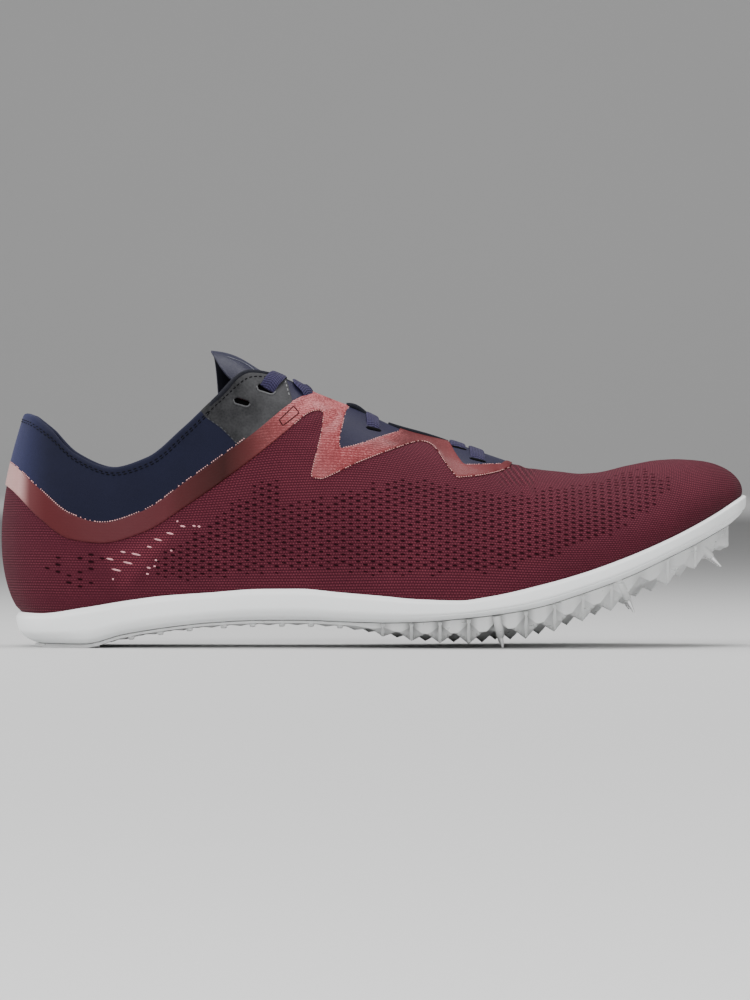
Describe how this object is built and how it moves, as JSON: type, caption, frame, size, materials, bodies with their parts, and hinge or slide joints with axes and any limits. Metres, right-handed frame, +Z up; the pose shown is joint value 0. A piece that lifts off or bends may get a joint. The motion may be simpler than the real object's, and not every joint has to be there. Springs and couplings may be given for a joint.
{
  "type": "track spike shoe",
  "caption": "Right-foot sprint running shoe: hollow knitted upper with laced throat, foam midsole and a toothed plate with screw-in pins.",
  "frame": {"origin": "middle of the shoe's bounding box in plan, on the floor that heel pad and rear pins stand on", "axes": "+X towards the toe, +Y towards the inner (medial) side of this right shoe, +Z up"},
  "size_m": [0.2847, 0.0958, 0.1124],
  "materials": {
    "knit": "burgundy engineered knit with rows of small slots",
    "panel": "navy brushed textile",
    "film": "red fused film, satin gloss",
    "patch": "dark grey synthetic leather, fine grain",
    "lace": "flat woven lace, navy purple",
    "liner": "dark textile sock liner",
    "foam": "white moulded foam, matt satin",
    "plate": "translucent grey moulded plate",
    "pin": "bright steel pin"
  },
  "bodies": {
    "root": {"upper": "knit", "collar_panel": "panel", "film_overlay": "film", "eyestay_lateral": "patch", "eyestay_medial": "patch", "tongue": "panel", "insole": "liner", "lace_bar_1": "lace", "lace_bar_2": "lace", "lace_bar_3": "lace", "lace_bar_4": "lace", "lace_bar_5": "lace", "midsole": "foam", "outsole_plate": "plate", "pin_lateral_rear": "pin", "pin_lateral_middle": "pin", "pin_lateral_front": "pin", "pin_medial_rear": "pin", "pin_medial_middle": "pin", "pin_medial_front": "pin"}
  },
  "joints": []
}
